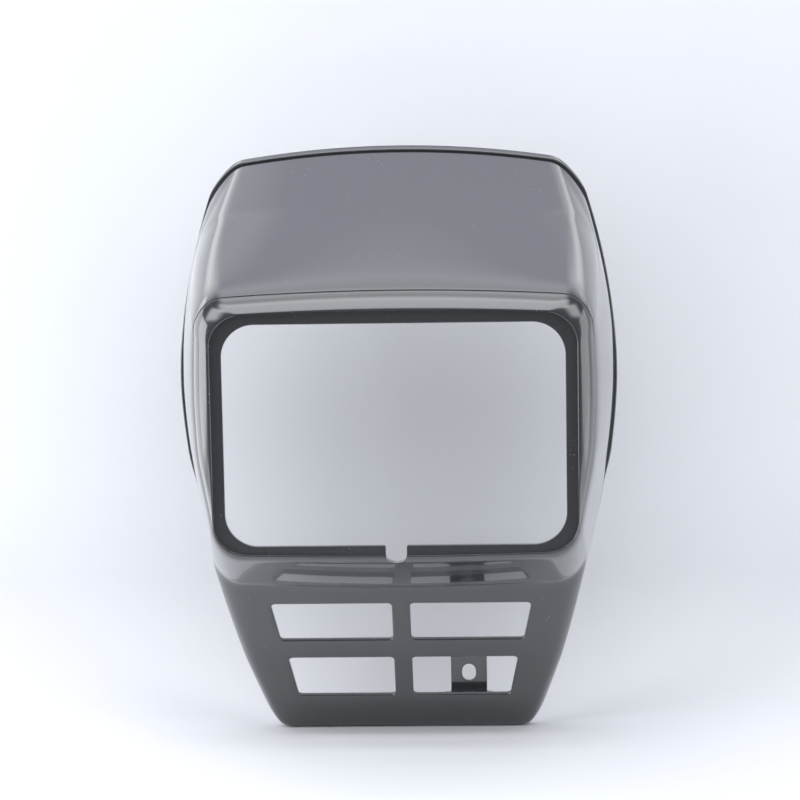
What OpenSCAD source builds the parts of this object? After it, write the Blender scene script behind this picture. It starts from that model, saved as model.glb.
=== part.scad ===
// Motorcycle headlamp fairing, one moulded shell.
// X is to the viewer's right, Y runs to the rear and Z is up. The origin is the
// centre of the lamp opening, in the plane of the shell's front edge.

/* [Lamp opening] */
// Width of the opening that the lamp looks through
opening_w = 171.6; // [160:0.2:180]
// Height of the opening
opening_h = 112.6; // [104:0.2:120]
// Radius of the opening's corners
opening_r = 16.5; // [8:0.5:24]
// Width of the flat seat at each side of the opening
seat_side = 6.2; // [4:0.1:8]
// Width of the seat over the opening, at its middle
seat_top = 6.9; // [5:0.1:9]
// Width of the seat under the opening
seat_bottom = 5.4; // [4:0.1:8]
// How far the seat lies behind the front edge
seat_recess = 2.5; // [1:0.1:4]

/* [Shell] */
// Wall thickness of the moulding
wall = 2.6; // [2:0.1:3.2]
// Width of the shell where it is widest
body_w = 223.2; // [212:0.2:234]
// Height of the widest place above the opening's centre
belly_z = 19; // [0:1:36]
// Depth of the sides, from the front edge to the rear edge
side_depth = 66; // [58:1:76]
// Depth of the hood at its rear edge
hood_depth = 93.5; // [82:0.5:104]
// Rise of the hood, from level
hood_slope = 35.7; // [28:0.1:42]
// Radius of the shell's upper corners
hood_r = 15.5; // [12:0.5:22]

/* [Chin] */
// Depth of the fold where the ledge meets the chin panel
fold_y = 38; // [34:0.5:44]
// Height of the fold under the opening's centre
fold_drop = 86; // [80:0.2:92]
// Lean of the chin panel, from upright
chin_slope = 27.5; // [22:0.5:32]
// Lowest point of the chin under the opening's centre
chin_drop = 171.5; // [160:0.5:180]
// Depth of the chin's rear edge
chin_depth = 90; // [87:0.5:98]
// Radius of the chin's corners
chin_r = 12; // [7:0.5:14]

/* [Crease] */
// Depth at which the moulded crease runs over the top of the opening
crease_y = 6.6; // [5.9:0.1:7.6]
// Width of the crease
crease_w = 0.8; // [0.4:0.1:1.2]
// Depth of the crease in the surface
crease_h = 0.35; // [0.1:0.05:0.5]
// Height at which the crease has faded out down the sides
crease_end_z = 44; // [30:1:56]

/* [Rear lip] */
// Height of the lip that turns out along the rear edge
lip_h = 1.4; // [0.8:0.1:3]
// Width of the lip along the shell
lip_t = 3.6; // [1.6:0.1:3.8]
// Height at which the lip begins to fade out down the sides
lip_end_z = -30; // [-50:1:10]

/* [Vents] */
// Distance down the chin panel from the fold to the upper vents
upper_vent_s = 11; // [8:0.1:14]
// Height of the upper vents along the panel
upper_vent_h = 24.4; // [18:0.1:26]
// Distance down the panel from the fold to the lower vents
lower_vent_s = 47.8; // [44:0.1:50]
// Height of the lower vents along the panel
lower_vent_h = 26; // [20:0.1:28]
// Width of the rib between the left and right vents
rib_w = 9.6; // [6:0.2:14]
// Distance from the middle to the line of the upper vents' ends, level with the fold
upper_reach = 68.6; // [60:0.2:71]
// Distance from the middle to the line of the lower vents' ends, level with the fold
lower_reach = 66.4; // [58:0.2:69]
// Slant of the vents' outer ends
vent_slant = 8; // [4:0.1:14]
// Radius of the vents' corners
vent_r = 2.2; // [1:0.1:4]

/* [Adjuster notch] */
// Width of the notch under the opening
notch_w = 10.6; // [6:0.2:14]
// Depth of the notch under the opening's lower edge
notch_h = 9.4; // [7:0.2:11]

/* [Lug] */
// Distance of the lug from the middle
lug_x = 33.8; // [26:0.2:40]
// Width of the lug
lug_w = 19; // [15:0.2:24]
// Thickness of the lug and of its shelf
lug_t = 3; // [2:0.1:4]
// Height of the lug over its shelf
lug_h = 21.5; // [18:0.5:26]
// Width of the lug's oblong hole
slot_w = 7.3; // [5:0.1:9]
// Height of the oblong hole
slot_h = 9.2; // [7.6:0.1:12]
// Height of the hole's centre over the shelf
slot_z = 8; // [7:0.1:12]
// Distance that the lug's rear face keeps from the chin's rear edge
lug_inset = 2; // [1:0.5:4]

/* [Hidden] */
$fn = 48;

gloss_black = [0.06, 0.06, 0.07];

// Lines along each stretch of half a section, from the top middle to the bottom
TOP_N = 9;
TOP_CORNER_N = 8;
SIDE_N = 20;
LOW_CORNER_N = 7;
LOW_N = 8;
HALF_N = TOP_N + TOP_CORNER_N + SIDE_N + LOW_CORNER_N + LOW_N;
RING_N = 2 * HALF_N;

// Outer edge of the seat
seat_w2 = opening_w / 2 + seat_side;
seat_zt = opening_h / 2 + seat_top;
seat_zb = -opening_h / 2 - seat_bottom;
seat_back = seat_recess + wall;

// The shoulder is the tight bend where the front edge turns into the shell
shoulder_top = 5.5;
shoulder_low = 1.5;
shoulder_y = 4;
shoulder_low_y = 1;
shoulder_side_y = 3.2;
shoulder_share = 0.42;
shoulder_end_z = -70;
shoulder_fade = 65;
side_curve = 0.25;

// The sides narrow above and below the belly
narrow_up = 0.00175;
narrow_down = 0.0094;
narrow_power = 1.606;

crown_front = 0.0003;
crown_rear = 0.00098;
low_crown = 0.0002;
fold_crown = 0.0003;
crown_run = 60;
low_corner_front = 15.5;

// The chin's corners are wider by this much at the fold, over this depth
chin_r_extra = 3;
chin_r_run = 25;
chin_draft = 6;

// Where the front edge's width gives way to the chin's, and over what height
draft_start = 4;
draft_run = 20;

fold_fillet = 1.2;
chin_fillet = 2;

// The lug's shelf reaches this far into the panel and lies this far under the sill,
// and its side fillets begin this far behind the panel
shelf_bite = 0.6;
shelf_drop = 0.3;
shelf_fillet = 3;
shelf_fillet_start = 1.5;

// How far the cuts of the notch and the vents run past what they cut
notch_behind = 8;
notch_before = 2;
notch_over = 1;
vent_cut = 24;
VENT_ARC_N = 5;

// How far the seat's plate reaches into the wall round it
seat_bury = 0.9;
seat_bury_top = 1.6;

// How far the ends of the shell's lines reach into the seat, and how far the rear
// one stands out from the recess and stays inside the shell behind it
recess_bury = 0.6;
rear_bury = 0.3;
rear_step = 0.6;
rear_clear = 0.05;

function clamp(a, low, high) = min(max(a, low), high);
function smooth(t) = let (c = clamp(t, 0, 1)) c * c * (3 - 2 * c);
function soft_max(a, b, k) = max(a, b) + k * ln(1 + exp(-abs(a - b) / k));
function soft_min(a, b, k) = -soft_max(-a, -b, k);

// Half width of the shell's widest outline at height z
function body_w2(z) = body_w / 2 - (z > belly_z
    ? narrow_up * pow(z - belly_z, 2)
    : narrow_down * pow(belly_z - z, narrow_power));

// Share of the way in from the outline to the seat, which fades towards the rear.
// The shoulder's part of it runs out down the sides, where the flare is straight.
function tuck(z, y) =
    let (t = clamp(y / side_depth, 0, 1), k = smooth((z - shoulder_end_z) / shoulder_fade))
    shoulder_share * k * exp(-y / shoulder_side_y) * (1 - t)
    + (1 - shoulder_share * k) * pow(1 - t, 1 + side_curve * k);

// Half width at the front: the seat's, and under it the chin's, which draws in
function front_w2(z) = let (k = smooth((seat_zb - draft_start - z) / draft_run))
    seat_w2 * (1 - k) + (body_w2(z) - chin_draft) * k;
function half_w(z, y) = body_w2(z) + (front_w2(z) - body_w2(z)) * tuck(z, y);

// Heights of the hood and of the ledge and chin at depth y
function hood_z(y) = seat_zt + tan(hood_slope) * y
    + shoulder_top * (1 - exp(-y / shoulder_y));
shoulder_fold = shoulder_low * (1 - exp(-fold_y / shoulder_low_y));
ledge_rate = (fold_drop + seat_zb - shoulder_fold) / fold_y;
function ledge_z(y) = seat_zb - ledge_rate * y
    - shoulder_low * (1 - exp(-y / shoulder_low_y));
function chin_z(y) = -fold_drop - (y - fold_y) / tan(chin_slope);

// Height of the underside at a place. The ledge is crowned, so that its fold with
// the flat chin panel bows up towards both ends.
function low_z(x, y) =
    let (bow = low_crown + (fold_crown - low_crown) * clamp(y / fold_y, 0, 1),
         ledge = ledge_z(y) + bow * x * x)
    soft_max(
        y < fold_y - 12 * fold_fillet ? ledge : soft_min(ledge, chin_z(y), fold_fillet),
        -chin_drop, chin_fillet);

function crown(y) = crown_front + (crown_rear - crown_front) * clamp(y / crown_run, 0, 1);
function low_r(y) = y < fold_y
    ? low_corner_front + (chin_r + chin_r_extra - low_corner_front) * y / fold_y
    : chin_r + chin_r_extra * clamp(1 - (y - fold_y) / chin_r_run, 0, 1);

// Point i of half a section at depth y, from the top middle round to the bottom
function half_point(i, y) =
    let (zt = hood_z(y), rb = low_r(y), c = crown(y),
         wt = half_w(zt - hood_r, y), wb = half_w(low_z(seat_w2, y) + rb, y),
         z1 = zt - c * wt * wt - hood_r, z2 = low_z(wb, y) + rb,
         i1 = i - TOP_N, i2 = i1 - TOP_CORNER_N, i3 = i2 - SIDE_N, i4 = i3 - LOW_CORNER_N)
    i1 < 0 ? let (x = (wt - hood_r) * i / TOP_N) [x, y, zt - c * x * x]
    : i2 < 0 ? let (a = 90 * (1 - i1 / TOP_CORNER_N), xa = wt - hood_r * (1 - cos(a)),
                    z = zt - c * xa * xa - hood_r * (1 - sin(a)))
        [xa + (half_w(z, y) - wt) * pow(cos(a), 2), y, z]
    : i3 < 0 ? let (z = z1 + (z2 - z1) * i2 / SIDE_N) [half_w(z, y), y, z]
    : i4 < 0 ? let (a = 90 * i3 / LOW_CORNER_N, xa = wb - rb * (1 - cos(a)),
                    z = low_z(xa, y) + rb * (1 - sin(a)))
        [xa + (half_w(z, y) - wb) * pow(cos(a), 2), y, z]
    : let (x = (wb - rb) * (1 - i4 / LOW_N)) [x, y, low_z(x, y)];

// Point of the whole section, with the left half mirrored from the right
function ring_point(i, y) = i <= HALF_N ? half_point(i, y)
    : let (p = half_point(RING_N - i, y)) [-p[0], p[1], p[2]];

// Heights where the rear edge starts back towards the hood and towards the chin,
// and the heights over which it does so
rear_hood_z = 5;
rear_hood_run = 118;
rear_chin_z = -35;
rear_chin_run = 110;

// Depth of the rear edge at height z
function rear_y(z) = side_depth
    + (hood_depth - side_depth) * smooth((z - rear_hood_z) / rear_hood_run)
    + (chin_depth - side_depth) * smooth((rear_chin_z - z) / rear_chin_run);

// Depth at which line i meets the rear edge, found by halving
function meet_rear(i, low, high, steps) = let (y = (low + high) / 2)
    steps == 0 ? y
    : y < rear_y(half_point(i, y)[2]) ? meet_rear(i, y, high, steps - 1)
    : meet_rear(i, low, y, steps - 1);
HALVINGS = 24;
half_rear = [for (i = [0:HALF_N]) meet_rear(i, fold_y, hood_depth + chin_depth, HALVINGS)];
function rear_at(i) = half_rear[i <= HALF_N ? i : RING_N - i];

// Depths of the lines round the shell: fixed ones to just past the fold, then shares
// of the way from there to the rear edge
front_ys = [0, 0.5, 1.2, 2.2, 3.6, 5, crease_y - crease_w / 2, crease_y,
    crease_y + crease_w / 2, 8.6, 13, 19, 26, fold_y - 6, fold_y - 3, fold_y - 1, fold_y + 1];
rear_shares = [0.05, 0.13, 0.25, 0.4, 0.56, 0.7, 0.8, 0.87];
FRONT_LINES = len(front_ys);
FIRST_INNER = 9;
CREASE_LINE = 7;
function line_y(v, i) = v < FRONT_LINES ? front_ys[v]
    : let (r = v - FRONT_LINES, start = front_ys[FRONT_LINES - 1], end = rear_at(i))
      r < len(rear_shares) ? start + (end - start) * rear_shares[r] : end;
LINES = FRONT_LINES + len(rear_shares) + 1;

// The crease is a shallow groove along one line, over the top and its corners. It
// goes in towards a place behind the lamp, and fades out over crease_fade of height.
crease_fade = 10;
crease_towards = [0, side_depth / 2, 0];
function crease_at(p) = crease_h * smooth((p[2] - crease_end_z) / crease_fade);
function groove(v, p) = v != CREASE_LINE ? p
    : p + crease_at(p) * unit(crease_towards - p);
function unit(v) = v / norm(v);

outer = [for (v = [0:LINES - 1])
    [for (i = [0:RING_N - 1]) groove(v, ring_point(i, line_y(v, i)))]];

// Outward direction of the shell at a crossing of the lines
function normal(v, i) = unit(cross(
    outer[v][(i + 1) % RING_N] - outer[v][(i + RING_N - 1) % RING_N],
    outer[min(v + 1, LINES - 1)][i] - outer[max(v - 1, 0)][i]));

inner = [for (v = [FIRST_INNER:LINES - 1])
    [for (i = [0:RING_N - 1]) outer[v][i] - wall * normal(v, i)]];

// The lip stands on the last lip_t of the shell and fades out down the sides
LAST = LINES - 1;
lip_min = 0.1;

// The lip's section, as shares of its width and height
lip_profile = [[1, 0], [0.9, 0.85], [0.5, 1], [0.1, 0.85]];
lip_fade = 20;
function lip_at(i) = lip_min
    + (lip_h - lip_min) * smooth((outer[LAST][i][2] - lip_end_z) / lip_fade + 0.5);
function lip_line(share, height) = [for (i = [0:RING_N - 1])
    let (edge = outer[LAST][i], along = unit(outer[LAST - 1][i] - edge))
    edge + along * lip_t * share + normal(LAST, i) * lip_at(i) * height];

// Foot of the recess wall, where it meets the seat
recess_line = [for (i = [0:RING_N - 1]) let (p = ring_point(i, 0)) [p[0], seat_back - recess_bury, p[2]]];

// Line where the shell's inside meets the back of the seat. It is never wider than
// the inside behind it, so that a lamp's rim slides straight in.
rear_line = [for (i = [0:RING_N - 1])
    let (p = ring_point(i, 0), q = inner[0][i])
    [sign(p[0]) * min(abs(p[0]) + rear_step * min(1, 2 * abs(p[0]) / opening_w), abs(q[0]) - rear_clear),
        seat_back - rear_bury,
        p[2] + rear_step * sign(p[2]) * min(1, 2 * abs(p[2]) / opening_h)]];

function reversed(list) = [for (i = [len(list) - 1:-1:0]) list[i]];

// Every line of the closed shell, from the recess over the outside to the inside
shell_lines = concat(
    [recess_line],
    [for (v = [0:LAST - 1]) outer[v]],
    [for (place = lip_profile) lip_line(place[0], place[1])],
    [outer[LAST]],
    reversed(inner),
    [rear_line]);

module shell() {
    rows = len(shell_lines);
    points = [for (line = shell_lines) each line];
    faces = [for (v = [0:rows - 1], i = [0:RING_N - 1])
        let (w = (v + 1) % rows, j = (i + 1) % RING_N,
             a = v * RING_N + i, b = v * RING_N + j, c = w * RING_N + j, d = w * RING_N + i)
        each [[c, b, a], [d, c, a]]];
    polyhedron(points, faces, convexity = 8);
}

// Rectangle with round corners, from its edges
module round_rect(left, right, low, high, r) {
    translate([left + r, low]) square([right - left - 2 * r, high - low]);
    translate([left, low + r]) square([right - left, high - low - 2 * r]);
    for (x = [left + r, right - r], z = [low + r, high - r])
        translate([x, z]) circle(r);
}

// Flat seat that the lamp's rim rests against
module seat() {
    translate([0, seat_back, 0]) rotate([90, 0, 0])
        linear_extrude(wall)
            difference() {
                round_rect(-seat_w2 - seat_bury, seat_w2 + seat_bury,
                    seat_zb - seat_bury, seat_zt + seat_bury_top, hood_r + seat_bury / 2);
                round_rect(-opening_w / 2, opening_w / 2, -opening_h / 2, opening_h / 2, opening_r);
            }
}

// Notch for the screwdriver that tilts the lamp
module notch() {
    end_z = -opening_h / 2 - notch_h + notch_w / 2;
    translate([0, seat_back + notch_behind, 0]) rotate([90, 0, 0])
        linear_extrude(seat_back + notch_behind + notch_before)
            union() {
                translate([0, end_z]) circle(d = notch_w);
                translate([-notch_w / 2, end_z]) square([notch_w, notch_over - opening_h / 2 - end_z]);
            }
}

// Puts a drawing on the chin panel: x across, y up the panel from the fold
module on_chin() {
    translate([0, fold_y, -fold_drop]) rotate([90 + chin_slope, 0, 0]) children();
}

// Arc of a round corner of an outline
function arc(centre, r, from, steps) = [for (k = [0:steps])
    centre + r * [cos(from + 90 * k / steps), sin(from + 90 * k / steps)]];

// One vent, open from distance s down the panel over height h
module vent(s, h, reach) {
    near = rib_w / 2;
    far_top = reach - s * tan(vent_slant);
    far_low = reach - (s + h) * tan(vent_slant);
    r = vent_r;
    linear_extrude(vent_cut, center = true)
        polygon(concat(
            arc([far_top - r, -s - r], r, 0, VENT_ARC_N),
            arc([near + r, -s - r], r, 90, VENT_ARC_N),
            arc([near + r, -s - h + r], r, 180, VENT_ARC_N),
            arc([far_low - r, -s - h + r], r, 270, VENT_ARC_N)));
}

module vents() {
    on_chin()
        for (side = [0, 1]) mirror([side, 0, 0]) {
            vent(upper_vent_s, upper_vent_h, upper_reach);
            vent(lower_vent_s, lower_vent_h, lower_reach);
        }
}

// The lug's shelf grows out of the panel's inside, level with the lower vents' sill
sill_s = lower_vent_s + lower_vent_h;
sill_y = fold_y + sill_s * sin(chin_slope) + wall * cos(chin_slope);
sill_z = -fold_drop - sill_s * cos(chin_slope) + wall * sin(chin_slope);
shelf_z = sill_z - shelf_drop;
lug_back = chin_depth - lug_inset;

module lug() {
    // Shelf, with a round fillet at each side where it leaves the panel
    fillet = shelf_fillet;
    fillet_y = sill_y + shelf_fillet_start + fillet;
    translate([lug_x, 0, shelf_z - lug_t])
        linear_extrude(lug_t)
            difference() {
                translate([-lug_w / 2 - fillet, sill_y - shelf_bite])
                    square([lug_w + 2 * fillet, lug_back - sill_y + shelf_bite]);
                for (side = [-1, 1]) {
                    translate([side * (lug_w / 2 + fillet), fillet_y]) circle(fillet);
                    translate([side * (lug_w / 2 + fillet) - fillet, fillet_y])
                        square([2 * fillet, lug_back - sill_y]);
                }
            }
    // Upright tab with the oblong hole
    translate([lug_x, lug_back, shelf_z]) rotate([90, 0, 0])
        linear_extrude(lug_t)
            difference() {
                translate([-lug_w / 2, -lug_t]) square([lug_w, lug_h + lug_t]);
                for (side = [-1, 1])
                    translate([0, slot_z + side * (slot_h - slot_w) / 2]) circle(d = slot_w);
                translate([-slot_w / 2, slot_z - (slot_h - slot_w) / 2])
                    square([slot_w, slot_h - slot_w]);
            }
}

module fairing() {
    color(gloss_black) {
        difference() {
            union() {
                shell();
                seat();
            }
            notch();
            vents();
        }
        lug();
    }
}

fairing();
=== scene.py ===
"""Looks of a motorcycle headlamp fairing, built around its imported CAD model.

The shell is made again as one fine mesh, from the same rules as the CAD solid, so
that its gloss finish has smooth curves and small rounded edges to reflect in.
Sizes are in millimetres in the model's frame, and become metres in the meshes:
X is to the viewer's right, Y runs to the rear and Z is up.
"""

import math

import bmesh
import bpy
import numpy as np
from mathutils import Matrix, Vector


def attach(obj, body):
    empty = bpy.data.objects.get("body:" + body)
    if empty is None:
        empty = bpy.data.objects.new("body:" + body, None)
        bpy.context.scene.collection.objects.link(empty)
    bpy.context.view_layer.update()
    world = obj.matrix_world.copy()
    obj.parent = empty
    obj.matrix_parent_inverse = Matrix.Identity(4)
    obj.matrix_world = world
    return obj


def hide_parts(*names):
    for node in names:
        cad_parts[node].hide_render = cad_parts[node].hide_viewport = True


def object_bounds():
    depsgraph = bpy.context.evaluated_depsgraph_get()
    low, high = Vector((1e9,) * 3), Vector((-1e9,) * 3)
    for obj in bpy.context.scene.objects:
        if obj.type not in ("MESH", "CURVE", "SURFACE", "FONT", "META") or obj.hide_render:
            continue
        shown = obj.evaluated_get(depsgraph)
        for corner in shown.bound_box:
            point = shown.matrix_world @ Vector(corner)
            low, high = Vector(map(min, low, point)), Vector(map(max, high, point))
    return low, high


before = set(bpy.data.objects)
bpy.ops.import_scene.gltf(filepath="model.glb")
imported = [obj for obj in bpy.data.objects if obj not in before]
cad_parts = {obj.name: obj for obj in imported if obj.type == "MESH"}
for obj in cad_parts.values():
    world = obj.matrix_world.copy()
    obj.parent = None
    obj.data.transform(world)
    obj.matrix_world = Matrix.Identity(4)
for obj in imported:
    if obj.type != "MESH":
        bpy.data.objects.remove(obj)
CAD_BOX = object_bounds()
MM = 0.001

# Lamp opening and its seat
OPENING_W = 171.6
OPENING_H = 112.6
OPENING_R = 16.5
SEAT_SIDE = 6.2
SEAT_TOP = 6.9
SEAT_BOTTOM = 5.4
SEAT_RECESS = 2.5

# Shell
WALL = 2.6
BODY_W = 223.2
BELLY_Z = 19
SIDE_DEPTH = 66
HOOD_DEPTH = 93.5
HOOD_SLOPE = math.radians(35.7)
HOOD_R = 15.5

# Chin
FOLD_Y = 38
FOLD_DROP = 86
CHIN_SLOPE = math.radians(27.5)
CHIN_DROP = 171.5
CHIN_DEPTH = 90
CHIN_R = 12
# The fold's fillet starts this many times its size before the fold
FOLD_REACH = 12

# Crease over the opening
CREASE_Y = 6.6
CREASE_W = 0.8
CREASE_H = 0.35
CREASE_END_Z = 44
CREASE_FADE = 10

# Lip along the rear edge
LIP_H = 1.4
LIP_T = 3.6
LIP_END_Z = -30
LIP_MIN = 0.1
LIP_FADE = 20
LIP_CORNER = 0.45
LIP_ROUND = 0.5

# Vents
UPPER_VENT_S = 11
UPPER_VENT_H = 24.4
LOWER_VENT_S = 47.8
LOWER_VENT_H = 26
RIB_W = 9.6
UPPER_REACH = 68.6
LOWER_REACH = 66.4
VENT_SLANT = math.radians(8)
VENT_R = 2.2
VENT_CUT = 6

# Notch and lug
NOTCH_W = 10.6
NOTCH_H = 9.4
NOTCH_EASE = 0.9
NOTCH_OVER = 1
NOTCH_BEFORE = 3
NOTCH_BEHIND = 8
LUG_X = 33.8
LUG_W = 19
LUG_T = 3
LUG_H = 21.5
SLOT_W = 7.3
SLOT_H = 9.2
SLOT_Z = 8
SLOT_CUT = 3
LUG_INSET = 2
LUG_FILLET = 3
SHELF_DROP = 0.3
SHELF_ROOT = 1.5
SHELF_SINK = 0.4
TAB_R = 0.6
TAB_SINK = 0.3

# Small roundings of the moulding's edges
EDGE_R = 0.45
VENT_FRONT_R = 1.15
VENT_BACK_R = 0.6
LUG_EDGE_R = 0.35
# Where the flare of a cutter starts, in degrees, and how many lines it has
FLARE_START = 4
FLARE_STEPS = 5

# How far the seat's rear outline stands out, and its least distance from the inside
SEAT_STEP = 0.6
SEAT_CLEAR = 0.05

# Round corner between the seat's face and the front edge, and the line before it
FOOT_SHARE = 0.07
FOOT_R = 0.4
RIM_LINE_Y = 1.2

# Shape of the shoulder, the sides and the crowns, as in the CAD solid
SHOULDER_TOP = 5.5
SHOULDER_LOW = 1.5
SHOULDER_Y = 4
SHOULDER_LOW_Y = 1
SHOULDER_SIDE_Y = 3.2
SHOULDER_SHARE = 0.42
SHOULDER_END_Z = -70
SHOULDER_FADE = 65
SIDE_CURVE = 0.25
NARROW_UP = 0.00175
NARROW_DOWN = 0.0094
NARROW_POWER = 1.606
CROWN_FRONT = 0.0003
CROWN_REAR = 0.00098
CROWN_RUN = 60
LOW_CROWN = 0.0002
FOLD_CROWN = 0.0003
LOW_CORNER_FRONT = 15.5
CHIN_R_EXTRA = 3
CHIN_R_RUN = 25
CHIN_DRAFT = 6
DRAFT_START = 4
DRAFT_RUN = 20
FOLD_FILLET = 1.2
CHIN_FILLET = 2
REAR_HOOD_Z = 5
REAR_HOOD_RUN = 118
REAR_CHIN_Z = -35
REAR_CHIN_RUN = 110

SEAT_W2 = OPENING_W / 2 + SEAT_SIDE
SEAT_ZT = OPENING_H / 2 + SEAT_TOP
SEAT_ZB = -OPENING_H / 2 - SEAT_BOTTOM
SEAT_BACK = SEAT_RECESS + WALL
LEDGE_RATE = (FOLD_DROP + SEAT_ZB - SHOULDER_LOW) / FOLD_Y

# Columns of the mesh along each stretch of half a section, from the top middle
# over the corner and down the side to the bottom middle
STRETCHES = (34, 22, 84, 20, 34)

# Depths of the mesh's lines before the crease, from it to the fold, and at the fold
FRONT_LINES = (0.45, 0.7, 1.0, 1.4, 1.9, 2.5, 3.2, 4.0, 4.9, 5.6)
LEDGE_LINES = (7.6, 8.6, 10, 11.8, 14, 16.5, 19, 21.5, 24, 26.5, 28.5, 30.2)
FOLD_LINES = FOLD_Y + np.linspace(-5.2, 3.6, 23)
HALVINGS = 40


def smooth(t):
    c = np.clip(t, 0, 1)
    return c * c * (3 - 2 * c)


def soft_max(a, b, k):
    return np.maximum(a, b) + k * np.log1p(np.exp(-np.abs(a - b) / k))


def soft_min(a, b, k):
    return -soft_max(-a, -b, k)


def body_half(z):
    """Half width of the widest outline at height z."""
    up = NARROW_UP * np.clip(z - BELLY_Z, 0, None) ** 2
    down = NARROW_DOWN * np.clip(BELLY_Z - z, 0, None) ** NARROW_POWER
    return BODY_W / 2 - up - down


def tuck(z, y):
    """Share of the way in from the widest outline to the front edge."""
    t = np.clip(y / SIDE_DEPTH, 0, 1)
    k = smooth((z - SHOULDER_END_Z) / SHOULDER_FADE)
    shoulder = SHOULDER_SHARE * k * np.exp(-y / SHOULDER_SIDE_Y) * (1 - t)
    return shoulder + (1 - SHOULDER_SHARE * k) * (1 - t) ** (1 + SIDE_CURVE * k)


def front_half(z):
    k = smooth((SEAT_ZB - DRAFT_START - z) / DRAFT_RUN)
    return SEAT_W2 * (1 - k) + (body_half(z) - CHIN_DRAFT) * k


def half_width(z, y):
    body = body_half(z)
    return body + (front_half(z) - body) * tuck(z, y)


def hood_z(y):
    shoulder = SHOULDER_TOP * (1 - np.exp(-y / SHOULDER_Y))
    return SEAT_ZT + math.tan(HOOD_SLOPE) * y + shoulder


def low_z(x, y):
    """Height of the underside: the crowned ledge, and the flat chin past its fold."""
    bow = LOW_CROWN + (FOLD_CROWN - LOW_CROWN) * np.clip(y / FOLD_Y, 0, 1)
    shoulder = SHOULDER_LOW * (1 - np.exp(-y / SHOULDER_LOW_Y))
    ledge = SEAT_ZB - LEDGE_RATE * y - shoulder + bow * x ** 2
    chin = -FOLD_DROP - (y - FOLD_Y) / math.tan(CHIN_SLOPE)
    folded = np.where(y < FOLD_Y - FOLD_REACH * FOLD_FILLET, ledge, soft_min(ledge, chin, FOLD_FILLET))
    return soft_max(folded, -CHIN_DROP, CHIN_FILLET)


def low_radius(y):
    wide = CHIN_R + CHIN_R_EXTRA
    ledge = LOW_CORNER_FRONT + (wide - LOW_CORNER_FRONT) * y / FOLD_Y
    chin = CHIN_R + CHIN_R_EXTRA * np.clip(1 - (y - FOLD_Y) / CHIN_R_RUN, 0, 1)
    return np.where(y < FOLD_Y, ledge, chin)


def columns():
    """Which stretch each column of half a section belongs to, and how far along it."""
    stretch = np.concatenate([np.full(n, k) for k, n in enumerate(STRETCHES)] + [[len(STRETCHES) - 1]])
    share = np.concatenate([np.arange(n) / n for n in STRETCHES] + [[1.0]])
    return stretch, share


STRETCH, SHARE = columns()
HALF_COLUMNS = len(STRETCH)


def section(y):
    """Half of the outside at depths y, one row per line and one column per place."""
    y = y * np.ones(HALF_COLUMNS)
    zt, rb = hood_z(y), low_radius(y)
    c = CROWN_FRONT + (CROWN_REAR - CROWN_FRONT) * np.clip(y / CROWN_RUN, 0, 1)
    wt = half_width(zt - HOOD_R, y)
    wb = half_width(low_z(SEAT_W2, y) + rb, y)

    top_x = (wt - HOOD_R) * SHARE
    top_z = zt - c * top_x ** 2

    a = (1 - SHARE) * math.pi / 2
    arc_x = wt - HOOD_R * (1 - np.cos(a))
    corner_z = zt - c * arc_x ** 2 - HOOD_R * (1 - np.sin(a))
    corner_x = arc_x + (half_width(corner_z, y) - wt) * np.cos(a) ** 2

    side_top = zt - c * wt ** 2 - HOOD_R
    side_low = low_z(wb, y) + rb
    side_z = side_top + (side_low - side_top) * SHARE
    side_x = half_width(side_z, y)

    a = SHARE * math.pi / 2
    arc_x = wb - rb * (1 - np.cos(a))
    low_corner_z = low_z(arc_x, y) + rb * (1 - np.sin(a))
    low_corner_x = arc_x + (half_width(low_corner_z, y) - wb) * np.cos(a) ** 2

    low_x = (wb - rb) * (1 - SHARE)
    bottom_z = low_z(low_x, y)

    parts = [STRETCH == k for k in range(len(STRETCHES))]
    x = np.select(parts, [top_x, corner_x, side_x, low_corner_x, low_x])
    z = np.select(parts, [top_z, corner_z, side_z, low_corner_z, bottom_z])
    return np.stack([x, y, z], axis=-1)


def opening_half(grow):
    """Half of the opening's outline, grown outwards, with the section's columns."""
    w, h, r = OPENING_W / 2 + grow, OPENING_H / 2 + grow, OPENING_R + grow
    up, down = (1 - SHARE) * math.pi / 2, SHARE * math.pi / 2
    parts = [STRETCH == k for k in range(len(STRETCHES))]
    x = np.select(parts, [
        (w - r) * SHARE, w - r + r * np.cos(up), w, w - r + r * np.cos(down), (w - r) * (1 - SHARE)])
    z = np.select(parts, [
        h, h - r + r * np.sin(up), (h - r) * (1 - 2 * SHARE), r - h - r * np.sin(down), -h])
    return x, z


def opening_line(grow, y):
    x, z = opening_half(grow)
    return np.stack([x, np.full(HALF_COLUMNS, float(y)), z], axis=-1)


def rear_depth(z):
    hood = (HOOD_DEPTH - SIDE_DEPTH) * smooth((z - REAR_HOOD_Z) / REAR_HOOD_RUN)
    chin = (CHIN_DEPTH - SIDE_DEPTH) * smooth((REAR_CHIN_Z - z) / REAR_CHIN_RUN)
    return SIDE_DEPTH + hood + chin


def rear_meeting():
    """Depth at which each column meets the rear edge, found by halving."""
    low = np.full(HALF_COLUMNS, float(FOLD_Y))
    high = np.full(HALF_COLUMNS, float(HOOD_DEPTH + CHIN_DEPTH))
    for _ in range(HALVINGS):
        middle = (low + high) / 2
        ahead = middle < rear_depth(section(middle)[:, 2])
        low = np.where(ahead, middle, low)
        high = np.where(ahead, high, middle)
    return (low + high) / 2


def unit(v):
    return v / np.linalg.norm(v, axis=-1, keepdims=True)


def both_halves(half):
    """The whole ring of each line, with the left half mirrored from the right."""
    left = half[..., -2:0:-1, :] * np.array([-1, 1, 1])
    return np.concatenate([half, left], axis=-2)


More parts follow.
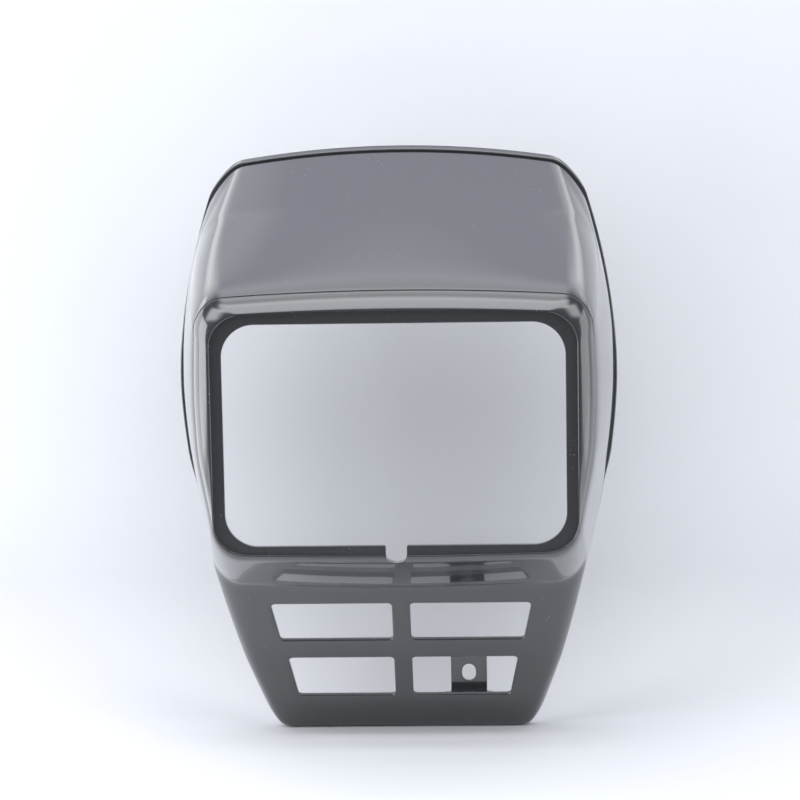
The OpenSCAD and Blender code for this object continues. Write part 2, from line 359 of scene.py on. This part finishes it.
def outward(outer):
    along = np.roll(outer, -1, axis=1) - np.roll(outer, 1, axis=1)
    across = np.concatenate([
        outer[1:2] - outer[0:1], outer[2:] - outer[:-2], outer[-1:] - outer[-2:-1]])
    return unit(np.cross(along, across))


def line_depths():
    """Depths of the lines round the shell: fixed up to the fold, then by share."""
    crease = CREASE_Y + CREASE_W / 2 * np.linspace(-1, 1, 11)
    front = np.concatenate([FRONT_LINES, crease, LEDGE_LINES, FOLD_LINES])
    end = rear_meeting()
    shares = np.concatenate([np.linspace(0.03, 0.76, 18), np.linspace(0.78, 0.88, 9)])
    start = front[-1]
    rear = start + (end - start) * shares[:, None]
    fixed = front[:, None] * np.ones(HALF_COLUMNS)
    return np.concatenate([fixed, rear, end[None]])


def groove(outer, normals):
    """Presses the crease in, over the top and its corners."""
    t = np.clip((outer[..., 1] - CREASE_Y) / (CREASE_W / 2), -1, 1)
    depth = CREASE_H * np.cos(t * math.pi / 2) ** 2
    fade = smooth((outer[..., 2] - CREASE_END_Z) / CREASE_FADE)
    return outer - normals * (depth * fade)[..., None]


def lip_lines(outer, normals):
    """The lip that turns out along the rear edge: a low bead with round corners."""
    edge = outer[-1]
    along = unit(outer[-3] - edge)
    height = LIP_MIN + (LIP_H - LIP_MIN) * smooth((edge[:, 2] - LIP_END_Z) / LIP_FADE + 0.5)
    lines = []
    for a in np.linspace(0, math.pi, 17):
        across = LIP_T / 2 * (1 + math.copysign(abs(math.cos(a)) ** LIP_CORNER, math.cos(a)))
        rise = math.sin(a) ** LIP_ROUND if 0 < a < math.pi else 0
        lines.append(edge + along * across + normals[-1] * (height * rise)[:, None])
    return lines


def quarter(start, corner, end, steps):
    """Lines of a rounded edge between two lines, bending towards their corner."""
    shares = np.linspace(0, 1, steps + 1)
    return [start * (1 - t) ** 2 + corner * 2 * t * (1 - t) + end * t ** 2 for t in shares]


def blended(start, end, shares):
    return [start + (end - start) * t for t in shares]


def shell_grid():
    """Every line of the closed shell, from the front edge over the outside, round
    the rear lip, back along the inside and through the opening."""
    plain = both_halves(section(line_depths()))
    normals = outward(plain)
    outer = groove(plain, normals)
    ring = both_halves(section(0.0))

    def rim(y):
        """The front edge's outline, moved to depth y."""
        return ring * np.array([1, 0, 1]) + np.array([0, y, 0])

    inner_rows = [k for k in range(len(outer)) if plain[k, 0, 1] > CREASE_Y + CREASE_W][::2]
    inner = [plain[k] - WALL * normals[k] for k in inner_rows + [len(outer) - 1]]
    rear_x = np.minimum(np.abs(ring[:, 0]) + SEAT_STEP, np.abs(inner[0][:, 0]) - SEAT_CLEAR)
    share_z = np.minimum(1, 2 * np.abs(ring[:, 2]) / OPENING_H)
    rear_z = ring[:, 2] + SEAT_STEP * np.sign(ring[:, 2]) * share_z
    rear_y = np.full(len(ring), SEAT_BACK)
    rear_line = np.stack([np.sign(ring[:, 0]) * rear_x, rear_y, rear_z], axis=-1)

    back_edge = both_halves(opening_line(EDGE_R, SEAT_BACK))
    back_corner = both_halves(opening_line(0, SEAT_BACK))
    wall_back = both_halves(opening_line(0, SEAT_BACK - EDGE_R))
    wall_front = both_halves(opening_line(0, SEAT_RECESS + EDGE_R))
    front_corner = both_halves(opening_line(0, SEAT_RECESS))
    front_edge = both_halves(opening_line(EDGE_R, SEAT_RECESS))
    foot = rim(SEAT_RECESS)
    foot_in = foot + (front_edge - foot) * FOOT_SHARE

    lines = quarter(rim(EDGE_R), rim(0), outer[0], 6)
    lines += list(outer[1:-1])
    lines += lip_lines(outer, normals)
    lines += quarter(outer[-1], (outer[-1] + inner[-1]) / 2, inner[-1], 2)[1:-1]
    lines += inner[::-1]
    lines += quarter(inner[0], (inner[0] + rear_line) / 2, rear_line, 5)[1:]
    lines += blended(rear_line, back_edge, (0.3, 0.65))
    lines += quarter(back_edge, back_corner, wall_back, 4)
    lines += quarter(wall_front, front_corner, front_edge, 4)
    lines += blended(front_edge, foot_in, (0.3, 0.65, 1))
    lines += quarter(foot_in, foot, rim(SEAT_RECESS - FOOT_R), 3)[1:]
    lines += [rim(RIM_LINE_Y)]
    return np.stack(lines)


def mesh_object(name, points, faces):
    mesh = bpy.data.meshes.new(name)
    mesh.from_pydata((np.asarray(points) * MM).tolist(), [], faces)
    mesh.validate()
    mesh.update()
    piece = bpy.data.objects.new(name, mesh)
    bpy.context.scene.collection.objects.link(piece)
    return piece


def grid_faces(rows, width, closed_rows):
    last = rows if closed_rows else rows - 1
    faces = []
    for v in range(last):
        w = (v + 1) % rows
        for i in range(width):
            j = (i + 1) % width
            faces.append((v * width + i, w * width + i, w * width + j, v * width + j))
    return faces


def facing_out(piece):
    work = bmesh.new()
    work.from_mesh(piece.data)
    bmesh.ops.recalc_face_normals(work, faces=work.faces)
    if work.calc_volume(signed=True) < 0:
        bmesh.ops.reverse_faces(work, faces=work.faces)
    work.to_mesh(piece.data)
    work.free()
    return piece


def bake(piece):
    """Applies the modifiers."""
    graph = bpy.context.evaluated_depsgraph_get()
    mesh = bpy.data.meshes.new_from_object(piece.evaluated_get(graph))
    piece.modifiers.clear()
    piece.data = mesh


def combine(piece, tools, operation):
    for tool in tools:
        change = piece.modifiers.new(operation.lower(), "BOOLEAN")
        change.object = tool
        change.operation = operation
        change.solver = "MANIFOLD"
    bake(piece)
    for tool in tools:
        bpy.data.objects.remove(tool)


def capped(name, points, width):
    """A closed solid from rings of points, each of the same width, with two caps."""
    faces = grid_faces(len(points) // width, width, False)
    faces.append(tuple(range(width)))
    faces.append(tuple(len(points) - 1 - k for k in range(width)))
    return facing_out(mesh_object(name, points, faces))


def rounded_outline(centres, radius, steps=7):
    """Outline round circles at the centres, given anticlockwise."""
    points = []
    count = len(centres)
    for k, (cx, cy) in enumerate(centres):
        before = Vector(centres[k]) - Vector(centres[k - 1])
        after = Vector(centres[(k + 1) % count]) - Vector(centres[k])
        start = math.atan2(before.y, before.x) - math.pi / 2
        turn = (math.atan2(after.y, after.x) - math.pi / 2 - start) % (2 * math.pi)
        for n in range(steps + 1):
            a = start + turn * n / steps
            points.append((cx + radius * math.cos(a), cy + radius * math.sin(a)))
    return points


def flared_cutter(name, centres, radius, place, back, front_r, back_r, reach):
    """A cutter whose outline widens at both faces of the wall, to round its edges.
    place turns (x, y, height over the outer face) into the model's frame."""
    turns = [math.radians(a) for a in np.linspace(FLARE_START, 90, FLARE_STEPS)]
    profile = [(reach, front_r)]
    for a in turns:
        profile.append((-front_r * (1 - math.cos(a)), front_r * (1 - math.sin(a))))
    for a in reversed(turns):
        profile.append((back + back_r * (1 - math.cos(a)), back_r * (1 - math.sin(a))))
    profile.append((back - reach, back_r))
    points = []
    for height, grow in profile:
        points += [place(x, y, height) for x, y in rounded_outline(centres, radius + grow)]
    return capped(name, points, len(points) // len(profile))


def on_chin(x, along, height):
    """A place on the chin panel: across it, up it from the fold, and out from it."""
    y = FOLD_Y - along * math.sin(CHIN_SLOPE) - height * math.cos(CHIN_SLOPE)
    z = -FOLD_DROP + along * math.cos(CHIN_SLOPE) - height * math.sin(CHIN_SLOPE)
    return x, y, z


def vent_cutter(name, side, start, height, far):
    near = RIB_W / 2 + VENT_R
    far_top = far - start * math.tan(VENT_SLANT) - VENT_R
    far_low = far - (start + height) * math.tan(VENT_SLANT) - VENT_R
    top, low = -start - VENT_R, -start - height + VENT_R
    centres = [(near, low), (far_low, low), (far_top, top), (near, top)]
    if side < 0:
        centres = [(-x, y) for x, y in reversed(centres)]
    return flared_cutter(name, centres, VENT_R, on_chin, -WALL, VENT_FRONT_R, VENT_BACK_R, VENT_CUT)


def extruded(name, outline, low, high, place):
    """A solid from an outline, by a function that puts (x, y, height) in the frame."""
    points = [place(x, y, height) for height in (low, high) for x, y in outline]
    return capped(name, points, len(outline))


def notch_cutter():
    """The half-round notch under the opening, with eased corners where it meets it."""
    low = -OPENING_H / 2 - NOTCH_H + NOTCH_W / 2
    top = NOTCH_OVER - OPENING_H / 2
    half = NOTCH_W / 2
    outer = half + NOTCH_EASE
    bend = top - NOTCH_OVER - NOTCH_EASE
    outline = [(half * math.cos(a), low + half * math.sin(a)) for a in np.linspace(-math.pi, 0, 25)]
    turns = np.linspace(math.pi, math.pi / 2, 6)
    right = [(outer + NOTCH_EASE * math.cos(a), bend + NOTCH_EASE * math.sin(a)) for a in turns]
    outline += right + [(outer, top), (-outer, top)]
    outline += [(-x, z) for x, z in reversed(right)]
    behind = SEAT_BACK + NOTCH_BEHIND
    return extruded("notch_cutter", outline, -NOTCH_BEFORE, behind, lambda x, z, y: (x, y, z))


def lug():
    """The shelf and the upright tab with its oblong hole."""
    sill_s = LOWER_VENT_S + LOWER_VENT_H
    sill_y = FOLD_Y + sill_s * math.sin(CHIN_SLOPE) + WALL * math.cos(CHIN_SLOPE)
    sill_z = -FOLD_DROP - sill_s * math.cos(CHIN_SLOPE) + WALL * math.sin(CHIN_SLOPE)
    shelf_z = sill_z - SHELF_DROP
    back = CHIN_DEPTH - LUG_INSET
    half = LUG_W / 2

    wide = half + LUG_FILLET
    root = sill_y + SHELF_ROOT + LUG_FILLET
    outline = [(half, back), (half, root)]
    for a in np.linspace(math.pi, 1.5 * math.pi, 8)[1:]:
        outline.append((wide + LUG_FILLET * math.cos(a), root + LUG_FILLET * math.sin(a)))
    outline.append((wide, sill_y - SHELF_SINK))
    outline += [(-x, y) for x, y in reversed(outline)]
    shelf = extruded("lug", outline, shelf_z - LUG_T, shelf_z, lambda x, y, h: (LUG_X + x, y, h))

    side = half - TAB_R
    foot = TAB_SINK - LUG_T
    top = LUG_H - TAB_R
    tab = rounded_outline([(-side, foot), (side, foot), (side, top), (-side, top)], TAB_R)
    upright = extruded("tab", tab, 0, LUG_T, lambda x, y, h: (LUG_X + x, back - h, shelf_z + y))
    combine(shelf, [upright], "UNION")
    shift = (SLOT_H - SLOT_W) / 2
    slot = flared_cutter(
        "slot", [(0, SLOT_Z - shift), (0, SLOT_Z + shift)], SLOT_W / 2,
        lambda x, y, h: (LUG_X + x, back - LUG_T - h, shelf_z + y),
        -LUG_T, LUG_EDGE_R, LUG_EDGE_R, SLOT_CUT)
    combine(shelf, [slot], "DIFFERENCE")
    edges = shelf.modifiers.new("edges", "BEVEL")
    edges.width = LUG_EDGE_R * MM
    edges.segments = 3
    edges.limit_method = "ANGLE"
    edges.angle_limit = math.radians(50)
    bake(shelf)
    return shelf


def shaded(piece, angle=32):
    """Smooth shading with true creases, led by the larger faces."""
    piece.data.polygons.foreach_set("use_smooth", [True] * len(piece.data.polygons))
    piece.data.set_sharp_from_angle(angle=math.radians(angle))
    led = piece.modifiers.new("led", "WEIGHTED_NORMAL")
    led.keep_sharp = True
    bake(piece)


def fairing():
    grid = shell_grid()
    rows, width = grid.shape[:2]
    shell = mesh_object("fairing_shell", grid.reshape(-1, 3), grid_faces(rows, width, True))
    facing_out(shell)
    cutters = [notch_cutter()]
    for side in (1, -1):
        cutters.append(vent_cutter("upper_cutter", side, UPPER_VENT_S, UPPER_VENT_H, UPPER_REACH))
        cutters.append(vent_cutter("lower_cutter", side, LOWER_VENT_S, LOWER_VENT_H, LOWER_REACH))
    combine(shell, cutters, "DIFFERENCE")
    combine(shell, [lug()], "UNION")
    shaded(shell)
    return shell


class Nodes:
    """Short hand for building a node tree."""

    def __init__(self, tree):
        self.tree = tree
        self.tree.nodes.clear()

    def add(self, kind, inputs=(), **settings):
        node = self.tree.nodes.new(kind)
        for key, value in settings.items():
            setattr(node, key, value)
        for name, value in dict(inputs).items():
            if isinstance(value, bpy.types.NodeSocket):
                self.tree.links.new(value, node.inputs[name])
            else:
                node.inputs[name].default_value = value
        return node

    def math(self, operation, a, b=0.0, clamp=False):
        node = self.add("ShaderNodeMath", {0: a, 1: b}, operation=operation)
        node.use_clamp = clamp
        return node.outputs[0]

    def noise(self, where, scale, detail=2.0, roughness=0.5):
        node = self.add("ShaderNodeTexNoise", {
            "Vector": where, "Scale": scale, "Detail": detail, "Roughness": roughness})
        return node.outputs["Fac"]

    def stretch(self, where, scale, turn=(0, 0, 0)):
        node = self.add("ShaderNodeMapping", {"Vector": where, "Rotation": turn, "Scale": scale})
        return node.outputs["Vector"]

    def span(self, value, low, high, to_low=0.0, to_high=1.0):
        node = self.add("ShaderNodeMapRange", {
            "Value": value, "From Min": low, "From Max": high, "To Min": to_low, "To Max": to_high})
        return node.outputs["Result"]

    def mix(self, share, a, b):
        node = self.add("ShaderNodeMix", {"Factor": share}, data_type="RGBA")
        for key, value in (("A", a), ("B", b)):
            socket = [s for s in node.inputs if s.name == key and s.type == "RGBA"][0]
            if isinstance(value, bpy.types.NodeSocket):
                self.tree.links.new(value, socket)
            else:
                socket.default_value = value
        return [s for s in node.outputs if s.type == "RGBA"][0]


def new_material(name):
    material = bpy.data.materials.new(name)
    material.use_nodes = True
    return material, Nodes(material.node_tree)


def black_plastic():
    """Gloss black moulded plastic: near black, faintly uneven in its gloss, with
    fine rubbing marks and specks of dust."""
    material, n = new_material("black_plastic")
    where = n.add("ShaderNodeTexCoord").outputs["Object"]

    cloud = n.noise(where, 9, 3, 0.55)
    fine = n.noise(where, 220, 2, 0.5)
    marks = n.noise(n.stretch(where, (900, 60, 60), (0.3, 0.5, 0.9)), 1, 2, 0.6)
    rub = n.span(marks, 0.66, 0.8)
    specks = n.add("ShaderNodeTexVoronoi", {"Vector": where, "Scale": 420}, feature="F1")
    size = n.noise(where, 60, 1)
    near = n.span(specks.outputs["Distance"], 0.13, 0.07)
    dust = n.math("MULTIPLY", near, n.span(size, 0.58, 0.66), True)

    tone = n.mix(cloud, (0.027, 0.027, 0.030, 1), (0.032, 0.032, 0.036, 1))
    worn = n.mix(n.math("MULTIPLY", rub, 0.15), tone, (0.08, 0.08, 0.085, 1))
    colour = n.mix(n.math("MULTIPLY", dust, 0.5), worn, (0.30, 0.30, 0.30, 1))

    rough = n.math("ADD", n.span(cloud, 0.3, 0.7, 0.14, 0.19), n.math("MULTIPLY", rub, 0.12))
    rough = n.math("ADD", rough, n.math("MULTIPLY", dust, 0.3))
    bump = n.add("ShaderNodeBump", {"Strength": 0.03, "Distance": 0.0002, "Height": fine})
    shader = n.add("ShaderNodeBsdfPrincipled", {
        "Base Color": colour, "Roughness": rough, "IOR": 1.6, "Normal": bump.outputs["Normal"],
        "Coat Weight": 1.0, "Coat Roughness": 0.03, "Coat IOR": 1.6})
    n.add("ShaderNodeOutputMaterial", {"Surface": shader.outputs["BSDF"]})
    return material


FLOOR_Z = CAD_BOX[0].z
WALL_Y = 0.16
SWEEP_R = 0.065
FLOOR_FRONT_Y = -0.42
STAGE_W = 2.4
STAGE_TOP = 0.225
BOX_TOP = 0.40
CARD_PAINTED_LIGHT_FADE = 0.12
# Colours of the lamps
COOL = (0.94, 0.96, 1.0)
BLUISH = (0.84, 0.86, 1.0)


def stage_material():
    """Pale card, painted a little lighter up the wall and darker on the floor as painted light
    and shade, and clear from its back, so that the object shows from behind."""
    material, n = new_material("pale_card")
    height = n.add("ShaderNodeSeparateXYZ", {
        "Vector": n.add("ShaderNodeTexCoord").outputs["Object"]}).outputs["Z"]
    # Painted light and shade: the card's colour goes from darker on the floor to lighter up the wall
    up = n.span(height, FLOOR_Z, FLOOR_Z + CARD_PAINTED_LIGHT_FADE)
    colour = n.mix(up, (0.75, 0.755, 0.77, 1), (0.80, 0.81, 0.83, 1))
    card = n.add("ShaderNodeBsdfDiffuse", {"Color": colour})
    clear = n.add("ShaderNodeBsdfTransparent")
    side = n.add("ShaderNodeNewGeometry")
    both = n.add("ShaderNodeMixShader", {
        "Fac": side.outputs["Backfacing"], 1: card.outputs["BSDF"], 2: clear.outputs["BSDF"]})
    n.add("ShaderNodeOutputMaterial", {"Surface": both.outputs[0]})
    return material


def stage():
    """Floor that sweeps up into a wall behind the object, seen from its front only."""
    profile = [(y, FLOOR_Z) for y in (FLOOR_FRONT_Y, -0.2, 0.0)]
    for a in np.linspace(0, math.pi / 2, 25):
        y = WALL_Y - SWEEP_R + SWEEP_R * math.sin(a)
        profile.append((y, FLOOR_Z + SWEEP_R * (1 - math.cos(a))))
    profile.append((WALL_Y, STAGE_TOP))
    points = [(x, y, z) for y, z in profile for x in (-STAGE_W / 2, STAGE_W / 2)]
    faces = [(2 * k, 2 * k + 1, 2 * k + 3, 2 * k + 2) for k in range(len(profile) - 1)]
    mesh = bpy.data.meshes.new("floor")
    mesh.from_pydata(points, [], faces)
    mesh.polygons.foreach_set("use_smooth", [True] * len(mesh.polygons))
    floor = bpy.data.objects.new("floor", mesh)
    bpy.context.scene.collection.objects.link(floor)
    mesh.materials.append(stage_material())


def softbox(name, place, aim, width, height, radiance, soft=(0.05, 0.05), colour=COOL):
    """A flat lamp of the given radiance. It fades towards its sides and its ends, over
    the two shares of its size in soft."""
    lamp = bpy.data.lights.new(name, "AREA")
    lamp.shape = "RECTANGLE"
    lamp.size = width
    lamp.size_y = height
    lamp.color = colour
    lamp.energy = radiance * math.pi * width * height
    lamp.use_nodes = True
    n = Nodes(lamp.node_tree)
    spot = n.add("ShaderNodeSeparateXYZ", {
        "Vector": n.add("ShaderNodeNewGeometry").outputs["Parametric"]})
    across, up = spot.outputs["X"], spot.outputs["Y"]
    sides = n.math("MULTIPLY", n.span(across, 0, soft[0]), n.span(across, 1, 1 - soft[0]))
    ends = n.math("MULTIPLY", n.span(up, 0, soft[1]), n.span(up, 1, 1 - soft[1]))
    glow = n.add("ShaderNodeEmission", {"Strength": n.math("MULTIPLY", sides, ends)})
    n.add("ShaderNodeOutputLight", {"Surface": glow.outputs["Emission"]})
    holder = bpy.data.objects.new(name, lamp)
    holder.location = place
    holder.rotation_euler = (Vector(aim) - Vector(place)).to_track_quat("-Z", "Y").to_euler()
    holder.visible_camera = False
    bpy.context.scene.collection.objects.link(holder)


def wall_box(name, start, end, radiance):
    """A lamp that stands on the floor and faces the right of the way from start to end."""
    a, b = Vector(start), Vector(end)
    middle = (a + b) / 2
    run = b - a
    height = BOX_TOP - FLOOR_Z
    z = (BOX_TOP + FLOOR_Z) / 2
    facing = middle + Vector((run.y, -run.x))
    softbox(name, (middle.x, middle.y, z), (facing.x, facing.y, z), run.length, height, radiance)


def lights():
    """Lamps round the object, and one plain grey room that every ray sees."""
    softbox("front_top", (0, -0.54, 0.93), (0, 0, 0.05), 1.3, 0.56, 3.2, (0.15, 0.2))
    softbox("front_left", (-0.70, -0.60, 0.66), (-0.05, 0, 0.03), 0.60, 0.56, 3.4, (0.3, 0.2))
    softbox("front_right", (0.70, -0.60, 0.66), (0.05, 0, 0.03), 0.60, 0.56, 2.6, (0.3, 0.2))
    softbox("top", (0, -0.12, 1.07), (0, 0, 0.05), 1.1, 0.80, 2.6, (0.2, 0.5))
    softbox("back_top", (0, 0.26, 1.05), (0, 0.05, 0.08), 1.4, 0.50, 1.4, (0.3, 0.3), BLUISH)
    softbox("upper_left", (-0.60, 0.40, 0.80), (-0.05, 0.05, 0.08), 1.0, 0.90, 3.2, (0.5, 0.45))
    softbox("upper_right", (0.60, 0.40, 0.80), (0.05, 0.05, 0.08), 1.0, 0.90, 2.9, (0.5, 0.45))
    wall_box("left_front", (-0.90, -0.75), (-0.68, -0.10), 4.3)
    wall_box("left_rear", (-0.68, -0.10), (-0.38, 0.155), 2.9)
    wall_box("right_front", (0.58, -0.05), (0.84, -0.72), 2.0)
    wall_box("right_rear", (0.36, 0.155), (0.58, -0.05), 0.9)
    softbox("behind_left", (-0.22, 0.15, 0.18), (-0.12, -0.5, 0.18), 0.40, 0.30, 0.7, (0.2, 0.2))
    softbox("behind_right", (0.22, 0.15, 0.18), (0.12, -0.5, 0.18), 0.40, 0.30, 0.5, (0.2, 0.2))
    world = bpy.data.worlds.new("room")
    bpy.context.scene.world = world
    world.use_nodes = True
    n = Nodes(world.node_tree)
    room = n.add("ShaderNodeBackground", {"Color": (0.9, 0.93, 1, 1), "Strength": 0.23})
    n.add("ShaderNodeOutputWorld", {"Surface": room.outputs[0]})


CAMERA_DISTANCE = 1.7
CAMERA_TURN = math.radians(2.5)
CAMERA_RISE = math.radians(10)
CAMERA_ROLL = math.radians(-1.05)
PICTURE = 800
FOCAL_PIXELS = 3408.5
SENSOR = 36
# Where the opening's centre lies in the photograph
CENTRE_X = 394
CENTRE_Y = 436


def camera():
    back = Vector((
        math.sin(CAMERA_TURN) * math.cos(CAMERA_RISE),
        -math.cos(CAMERA_TURN) * math.cos(CAMERA_RISE),
        math.sin(CAMERA_RISE)))
    level = (-back).cross(Vector((0, 0, 1))).normalized()
    above = level.cross(-back)
    right = level * math.cos(CAMERA_ROLL) + above * math.sin(CAMERA_ROLL)
    up = above * math.cos(CAMERA_ROLL) - level * math.sin(CAMERA_ROLL)
    data = bpy.data.cameras.new("camera")
    data.sensor_width = SENSOR
    data.lens = FOCAL_PIXELS / PICTURE * SENSOR
    data.shift_x = (PICTURE / 2 - CENTRE_X) / PICTURE
    data.shift_y = (CENTRE_Y - PICTURE / 2) / PICTURE
    data.clip_start = 0.05
    data.clip_end = 20
    holder = bpy.data.objects.new("camera", data)
    turned = Matrix((right, up, back)).transposed().to_4x4()
    holder.matrix_world = Matrix.Translation(back * CAMERA_DISTANCE) @ turned
    bpy.context.scene.collection.objects.link(holder)
    bpy.context.scene.camera = holder


bpy.context.scene.view_settings.view_transform = "Standard"
shell = fairing()
shell.data.materials.clear()
shell.data.materials.append(black_plastic())
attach(shell, "root")
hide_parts("fairing")
stage()
lights()
camera()
